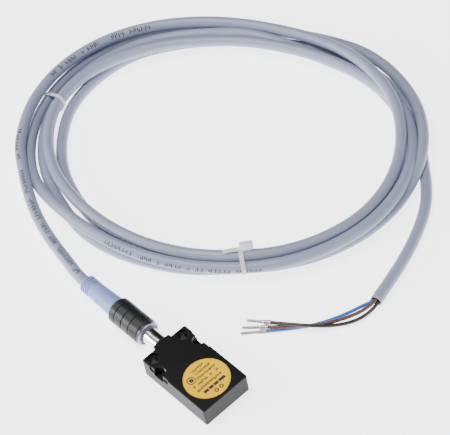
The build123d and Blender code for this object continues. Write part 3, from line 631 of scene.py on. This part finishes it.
def ribbon(name, line, across, up, width, thickness, closed):
    # a rounded-rectangle section carried along a line: width along "across", thickness along "up"; the ends of an
    # open one are drawn in to a point
    corner = np.array([(-1, -0.55), (-0.86, -1), (0.86, -1), (1, -0.55), (1, 0.55), (0.86, 1), (0.5, 1), (0, 1),
                       (-0.5, 1), (-0.86, 1), (-1, 0.55)])
    wide, tall = corner[:, 0] * width / 2, corner[:, 1] * thickness / 2
    grid = line[:, None] + wide[None, :, None] * across[None, None] + tall[None, :, None] * up[:, None]
    if not closed:
        first, last = line[None, :1], line[None, -1:]
        grid = np.concatenate([first + (grid[:1] - first) * 0.001, grid, last + (grid[-1:] - last) * 0.001])
    return gridMesh(name, grid, closeU=closed, closeV=True)


def roundedBlock(name, centre, axes, halfSizes, power=0.35, rows=24, columns=36):
    # superellipsoid: x = a c(v) c(u), y = b c(v) s(u), z = h s(v), each cosine and sine raised to a small power
    v = np.linspace(-math.pi / 2 + 1e-4, math.pi / 2 - 1e-4, rows)
    u = np.linspace(-math.pi, math.pi, columns, endpoint=False)
    v, u = np.meshgrid(v, u, indexing="ij")

    def soft(value):
        return np.sign(value) * np.abs(value) ** power

    a, b, h = halfSizes
    local = np.stack([a * soft(np.cos(v)) * soft(np.cos(u)), b * soft(np.cos(v)) * soft(np.sin(u)),
                      h * soft(np.sin(v))], -1)
    return gridMesh(name, centre + local @ np.array(axes), closeV=True)


def faceOutward(piece):
    # merge doubles, then turn every face outwards
    work = bmesh.new()
    work.from_mesh(piece.data)
    bmesh.ops.remove_doubles(work, verts=work.verts, dist=1e-7)
    bmesh.ops.recalc_face_normals(work, faces=work.faces)
    work.to_mesh(piece.data)
    work.free()
    piece.data.polygons.foreach_set("use_smooth", np.ones(len(piece.data.polygons), bool))


def strandsAcross(degrees):
    # where the cable passes through the upright plane, in order along it: (mm outside the loop, mm above the floor)
    foot, outward, forward = ringPlane(degrees)
    local = cablePoints / mm - foot
    along = local @ forward
    first = np.nonzero((along[:-1] * along[1:] <= 0) & (local[:-1] @ outward > -30))[0]  # this side of the loop only
    share = (along[first] / (along[first] - along[first + 1]))[:, None]
    crossing = local[first] * (1 - share) + local[first + 1] * share
    return np.stack([crossing @ outward, crossing[:, 2]], -1)


def makeTie(name, settings):
    # the band lies in the upright plane, or aslant it by "skew"; its head and tail sit on one strand at a lean from
    # its outer side
    foot, outward, forward = ringPlane(settings["angle"])
    rise = np.array([0.0, 0.0, 1.0])
    strands = strandsAcross(settings["angle"])
    held = strands[list(settings["strands"])]
    radius = cableSettings["diameter"] / mm / 2
    thickness = settings["thickness"]
    line = bandLine(held, radius + thickness / 2, 160)
    line[:, 1] = np.maximum(line[:, 1], thickness / 2 + 0.02)
    step = np.roll(line, -1, 0) - np.roll(line, 1, 0)
    outer = np.stack([step[:, 1], -step[:, 0]], -1) / np.linalg.norm(step, axis=1)[:, None]

    def inSpace(flat, shift=0.0):
        slide = shift + settings["skew"] * (flat[:, :1] - held[:, 0].mean())
        return (foot + flat[:, :1] * outward + flat[:, 1:] * rise + slide * forward) * mm

    def leanAxes(degrees):
        lean = math.radians(degrees)
        away = math.cos(lean) * outward + math.sin(lean) * rise
        return lean, away, math.sin(lean) * outward - math.cos(lean) * rise

    bandUp = outer[:, :1] * outward + outer[:, 1:] * rise
    pieces = [ribbon(name + "TieBand", inSpace(line), forward, bandUp, settings["width"] * mm, thickness * mm, True)]
    head = settings["head"]
    lean, away, over = leanAxes(head["lean"])
    centre = strands[head["beside"]] + (radius + head["reach"]) * np.array([math.cos(lean), math.sin(lean)])
    pieces.append(roundedBlock(name + "TieHead", inSpace(centre[None], head["shift"])[0], (forward, over, away),
                               np.array(head["size"]) * mm))
    if settings["tail"]:
        # the cut end lies along its strand, bowed up a little in the middle and following the strand's bend
        tail = settings["tail"]
        _, away, over = leanAxes(tail["lean"])
        shift = np.linspace(tail["from"], tail["to"], 30)
        lift = radius + tail["thickness"] * (0.7 + 0.8 * np.sin(np.linspace(0, math.pi, 30)))
        outside, height = strands[head["beside"]]
        line = (foot + outside * outward + height * rise)[None] + shift[:, None] * forward + lift[:, None] * away
        line = line - (shift[:, None] ** 2 / tail["bend"]) * outward
        pieces.append(ribbon(name + "TieTail", line * mm, over, np.repeat(away[None], 30, 0), tail["width"] * mm,
                             tail["thickness"] * mm, False))
    for piece in pieces:
        faceOutward(piece)
        piece.data.materials.append(nylon)
        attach(piece, "plug")
        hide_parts(name + "_tie")
    return pieces


ties = [piece for name, settings in tieSettings.items() for piece in makeTie(name, settings)]
print("stage: ties")

# ---- label print: a ring with a dot, a cut bar, two small rings and rows of short strokes, a hair above the label ----
# rows and bar are (x, from y, to y, height), the ring (x, y, radius, width), the small rings (x, y's, radius, width)
labelSettings = {
    "centre": 20.0, "rimRadius": 8.0, "low": 8.08, "high": 8.13, "pitch": 0.92, "gap": 0.13,
    "rows": [(14.4, -1.9, 2.9, 1.05), (16.1, -2.2, 4.4, 1.05), (17.8, -2.2, 5.2, 1.05), (19.7, -5.4, 5.6, 1.25),
             (21.7, -5.6, 5.4, 1.25)],
    "upright": 0.32, "tick": 0.36, "tickAt": 0.44,
    "bar": (23.8, -4.7, 5.1, 1.15), "cuts": (2.3, 4.4, 6.7), "cutWidth": 0.28,
    "ring": (16.9, -4.3, 1.45, 0.34), "smallRings": (26.0, (-0.9, 1.3), 0.62, 0.40),
}


def slabs(centres, alongY, alongX):
    # flat bars: each centre plus or minus half its lengths, from just inside the label to just above it
    low, high = labelSettings["low"], labelSettings["high"]
    signs = np.array([(-1, -1, 0), (1, -1, 0), (1, 1, 0), (-1, 1, 0), (-1, -1, 1), (1, -1, 1), (1, 1, 1), (-1, 1, 1)],
                     float)
    corners = np.zeros((len(centres), 8, 3))
    corners[:, :, 0] = centres[:, :1] + signs[None, :, 0] * alongX[:, None] / 2
    corners[:, :, 1] = centres[:, 1:] + signs[None, :, 1] * alongY[:, None] / 2
    corners[:, :, 2] = low + signs[None, :, 2] * (high - low)
    faces = np.array([(3, 2, 1, 0), (4, 5, 6, 7), (0, 1, 5, 4), (1, 2, 6, 5), (2, 3, 7, 6), (3, 0, 4, 7)])
    return corners.reshape(-1, 3), (faces[None] + 8 * np.arange(len(centres))[:, None, None]).reshape(-1, 4)


def flatRing(centre, radius, width, count):
    # a flat ring: (centre + r cos, centre + r sin, z) with r and z going round a rectangle, closed both ways
    low, high = labelSettings["low"], labelSettings["high"]
    angle = np.linspace(0, 2 * math.pi, count, endpoint=False)
    inner, outer = radius - width / 2, radius + width / 2
    x, y = centre
    points = np.stack([np.stack([x + r * np.cos(angle), y + r * np.sin(angle), np.full_like(angle, z)], -1)
                       for r, z in ((inner, low), (outer, low), (outer, high), (inner, high))], 1)
    i, j = np.meshgrid(np.arange(count), np.arange(4), indexing="ij")
    i2, j2 = (i + 1) % count, (j + 1) % 4
    return points.reshape(-1, 3), np.stack([i * 4 + j, i * 4 + j2, i2 * 4 + j2, i2 * 4 + j], -1).reshape(-1, 4)


def strokeRow(row, chance):
    # an upright in every cell that is kept, and a shorter tick beside it that sits high or low
    s = labelSettings
    x, start, end, height = row
    cells = np.arange(start, end, s["pitch"])
    cells = cells[chance.random(len(cells)) > s["gap"]]
    n = len(cells)
    reach = height * (0.75 + 0.25 * chance.random(n))
    short = reach * (0.30 + 0.30 * chance.random(n))
    level = x + (reach - short) * (chance.random(n) - 0.5)
    centres = np.concatenate([np.stack([np.full(n, x), cells], -1), np.stack([level, cells + s["tickAt"]], -1)])
    return centres, np.repeat([s["upright"], s["tick"]], n), np.concatenate([reach, short])


def cutBar():
    # one thick bar parted by narrow gaps at its cuts
    s = labelSettings
    x, start, end, height = s["bar"]
    cuts = np.array([start, *(start + cut for cut in s["cuts"]), end])
    middles = (cuts[1:] + cuts[:-1]) / 2
    n = len(middles)
    return np.stack([np.full(n, x), middles], -1), np.diff(cuts) - s["cutWidth"], np.full(n, height)


def makeLabelPrint():
    s = labelSettings
    chance = np.random.default_rng(7)
    bars = [strokeRow(row, chance) for row in s["rows"]] + [cutBar()]
    ringX, ringY, ringRadius, ringWidth = s["ring"]
    smallX, smallYs, smallRadius, smallWidth = s["smallRings"]
    parts = [slabs(*(np.concatenate(values) for values in zip(*bars))),
             flatRing((ringX, ringY), ringRadius, ringWidth, 48),
             flatRing((ringX, ringY), ringRadius * 0.32, ringRadius * 0.5, 24)]
    parts += [flatRing((smallX, smallY), smallRadius, smallWidth, 24) for smallY in smallYs]
    offset, points, faces = 0, [], []
    for partPoints, partFaces in parts:
        points.append(partPoints)
        faces.append(partFaces + offset)
        offset += len(partPoints)
    mesh = bpy.data.meshes.new("labelPrint")
    mesh.from_pydata((np.concatenate(points) * mm).tolist(), [], np.concatenate(faces).tolist())
    piece = bpy.data.objects.new("labelPrint", mesh)
    bpy.context.scene.collection.objects.link(piece)
    faceOutward(piece)
    mesh.polygons.foreach_set("use_smooth", np.zeros(len(mesh.polygons), bool))
    f = Finish("labelInk")
    edgeFactor = f.noise(f.place(), 2500, 3.0)
    tint = f.mix(edgeFactor, (0.010, 0.009, 0.008, 1), (0.030, 0.026, 0.020, 1))
    mesh.materials.append(f.set(colour=tint, roughness=0.45 + edgeFactor * 0.2))
    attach(piece, "sensor")


makeLabelPrint()
print("stage: label print")

# ---- finishes of the pieces that come from the model ----


def labelFinish():
    # yellow foil with a soft sheen, a little darker at its cut edge
    f = Finish("labelYellow")
    p = f.place()
    x, y, _ = f.axes(p)
    slow = f.noise(p, 160, 2.0)
    radius = ((x - labelSettings["centre"] * mm) ** 2.0 + y * y).math("SQRT")
    rim = radius > labelSettings["rimRadius"] * mm
    tint = f.mix(slow, (0.90, 0.50, 0.0, 1), (0.96, 0.57, 0.0, 1))
    tint = f.mix(rim * 0.5, tint, (0.55, 0.30, 0.01, 1))
    f.bump(f.noise(p, 1800, 2.0), 0.00001, 0.35)
    return f.set(colour=tint, roughness=0.55 + slow * 0.08, specular=0.12)


def collarFinish():
    # dark plated collar with a paler violet front lip
    f = Finish("collarChrome")
    p = f.place()
    x, _, _ = f.axes(p)
    lip = (x > -11.28 * mm) * 1.0  # the front end of the collar
    cloud = f.noise(p, 600, 3.0)
    marks = f.noise(f.stretch(p, (3000, 120, 120)), 1.0, 4.0, 0.7)
    tint = f.mix(lip, (0.030, 0.030, 0.036, 1), (0.34, 0.33, 0.44, 1))
    f.bump(marks, 0.00001, 0.4)
    return f.set(colour=tint, metallic=0.25 + lip * 0.6, roughness=0.26 + cloud * 0.12)


def overmouldFinish():
    # soft blue moulding with fine grain and one small dark tick beside the parting line
    f = Finish("overmouldBlue")
    p = f.place()
    x, y, z = f.axes(p)
    slow = f.noise(p, 140, 2.0)
    fine = f.noise(p, 2200, 4.0)
    edge = f.edgeFactor(0.0003)
    tick = (abs(x + 35.2 * mm) < 0.22 * mm) * (abs(y + 3.4 * mm) < 1.2 * mm) * (z > 4.0 * mm) * (z < 6.2 * mm)
    tint = f.mix(slow, (0.200, 0.260, 0.560, 1), (0.260, 0.325, 0.640, 1))
    tint = f.mix(edge * 0.4, tint, (0.45, 0.50, 0.74, 1))
    tint = f.mix(tick * 0.9, tint, (0.02, 0.02, 0.04, 1))
    f.bump(fine, 0.00002, 0.6)
    return f.set(colour=tint, roughness=0.42 + slow * 0.10)


def gripFinish():
    # black moulded grip: fine matt grain, with the high edges of its bands and ribs painted lighter, partly as rubbed
    # wear and partly as a painted sheen
    f = Finish("gripBlack")
    p = f.place()
    fine = f.noise(p, 2600, 4.0)
    slow = f.noise(p, 200, 2.0)
    streak = f.noise(f.stretch(p, (90, 1500, 1500)), 1.0, 3.0)
    edge = f.edgeFactor(0.0002) * f.ramp(f.noise(p, 700, 3.0), (0.35, 0.2), (0.7, 1.0))
    tint = f.mix(slow, (0.006, 0.006, 0.007, 1), (0.014, 0.014, 0.016, 1))
    tint = f.mix(streak * 0.35, tint, (0.030, 0.030, 0.034, 1))
    # the edges of the bands and ribs painted lighter: rubbed wear together with a painted sheen
    tint = f.mix(edge * 0.5, tint, (0.075, 0.075, 0.082, 1))
    f.bump(fine * 0.6 + streak * 0.4, 0.00002, 0.7)
    return f.set(colour=tint, roughness=0.34 + slow * 0.14 - edge * 0.06, specular=0.35)


def barrelFinish():
    # bright warm nickel with lathe marks round its axis
    f = Finish("barrelNickel")
    p = f.place()
    marks = f.noise(f.stretch(p, (5200, 90, 90)), 1.0, 5.0, 0.7)
    cloud = f.noise(p, 380, 3.0)
    tint = f.mix(cloud, (0.80, 0.74, 0.66, 1), (0.93, 0.89, 0.83, 1))
    f.bump(marks, 0.00001, 0.35)
    return f.set(colour=tint, metallic=1.0, roughness=0.10 + cloud * 0.10 + marks * 0.06)


def boardFinish():
    # green solder mask over a faint weave, with tracks showing through as lighter lines
    f = Finish("boardMask")
    p = f.place()
    x, y, _ = f.axes(p)
    weave = (x * 9000).math("SINE") * (y * 9000).math("SINE")
    track = (((x * 640 + f.noise(p, 90, 1.0) * 2.0) % 1.0) < 0.28) * (abs(y * 1000 % 2.4 - 1.2) > 0.2)
    tint = f.mix(track * 0.6, (0.006, 0.095, 0.030, 1), (0.020, 0.20, 0.070, 1))
    f.bump(weave * 0.4 + track, 0.00002, 0.6)
    return f.set(colour=tint, roughness=0.30 + weave * 0.04, coat=0.25)


def clearFinish():
    # milky light guide: clear plastic with faint flow haze
    f = Finish("guideClear")
    p = f.place()
    haze = f.noise(p, 500, 3.0)
    f.bump(haze, 0.00001, 0.4)
    return f.set(colour=f.mix(haze, grey(0.30), (0.48, 0.50, 0.52, 1)), roughness=0.22 + haze * 0.15, specular=0.6)


def resinFinish():
    # grey potting resin with a few tiny bubbles at its surface
    f = Finish("pottingResin")
    p = f.place()
    bubbles = f.node("ShaderNodeTexVoronoi", None, {"Vector": p, "Scale": 900.0}, out="Distance")
    pit = f.ramp(bubbles, (0.10, 0.0), (0.22, 1.0))
    slow = f.noise(p, 120, 2.0)
    f.bump(pit, 0.00006, 0.6)
    return f.set(colour=f.mix(slow, grey(0.10), (0.15, 0.155, 0.16, 1)), roughness=0.28 + slow * 0.15)


def chipFinish():
    # matt moulded epoxy with a coarse grain
    f = Finish("chipEpoxy")
    p = f.place()
    fine = f.noise(p, 3800, 4.0)
    slow = f.noise(p, 300, 2.0)
    f.bump(fine, 0.00002, 0.8)
    return f.set(colour=f.mix(slow, grey(0.012), grey(0.026)), roughness=0.55 + fine * 0.2)


def ceramicFinish():
    # tan ceramic bodies with a speckle of two tans
    f = Finish("ceramicTan")
    p = f.place()
    speck = f.noise(p, 2600, 4.0)
    f.bump(speck, 0.00002, 0.5)
    return f.set(colour=f.mix(speck, (0.30, 0.18, 0.09, 1), (0.48, 0.33, 0.19, 1)), roughness=0.45 + speck * 0.15)


# each: name, colour, rubbed edge colour, roughness, grain scale, grain depth
housingBlack = mouldedPlastic("housingBlack", (0.0022, 0.0020, 0.0026), (0.045, 0.043, 0.052), 0.36, 1900, 0.00002,
                              specular=0.20)
baseBlack = mouldedPlastic("baseBlack", (0.012, 0.012, 0.013), (0.05, 0.05, 0.055), 0.52, 1500, 0.00004)
linerViolet = mouldedPlastic("linerViolet", (0.24, 0.22, 0.42), (0.45, 0.43, 0.62), 0.35, 2400, 0.00001)
insertBlue = mouldedPlastic("insertBlue", (0.20, 0.24, 0.46), (0.35, 0.40, 0.60), 0.42, 2200, 0.00002)
carrierWhite = mouldedPlastic("carrierWhite", (0.62, 0.61, 0.57), (0.75, 0.74, 0.70), 0.45, 1800, 0.00002)
sealBlack = mouldedPlastic("sealBlack", (0.010, 0.010, 0.010), (0.03, 0.03, 0.03), 0.60, 2600, 0.00003)
goldContact = platedMetal("goldContact", (0.94, 0.68, 0.30), 0.18)
copperFoil = platedMetal("copperFoil", (0.84, 0.42, 0.24), 0.26, (500, 500, 500))
springSteel = platedMetal("springSteel", (0.56, 0.56, 0.57), 0.24, (400, 400, 400))
finishes = {
    "housing_shell": housingBlack, "base_plate": baseBlack, "label_disc": labelFinish(),
    "sensing_electrode": copperFoil, "guard_ring": copperFoil, "electrode_carrier": carrierWhite,
    "electrode_leads": copperFoil, "circuit_board": boardFinish(), "oscillator_chip": chipFinish(),
    "output_transistor": chipFinish(), "regulator_chip": chipFinish(), "chip_capacitors": ceramicFinish(),
    "chip_resistors": chipFinish(), "status_led": carrierWhite, "light_guide": clearFinish(),
    "potting_block": resinFinish(), "connector_barrel": barrelFinish(), "barrel_seal": sealBlack,
    "contact_carrier": sealBlack, "contact_pins": goldContact, "coupling_sleeve": gripFinish(),
    "snap_collar": collarFinish(), "collar_liner": linerViolet, "snap_ring": springSteel, "socket_insert": insertBlue,
    "socket_contacts": goldContact, "plug_seal": sealBlack, "plug_body": overmouldFinish(),
    "retaining_ring": springSteel,
}
for nodeName, finish in finishes.items():
    paint(nodeName, finish)
print("stage: finishes")
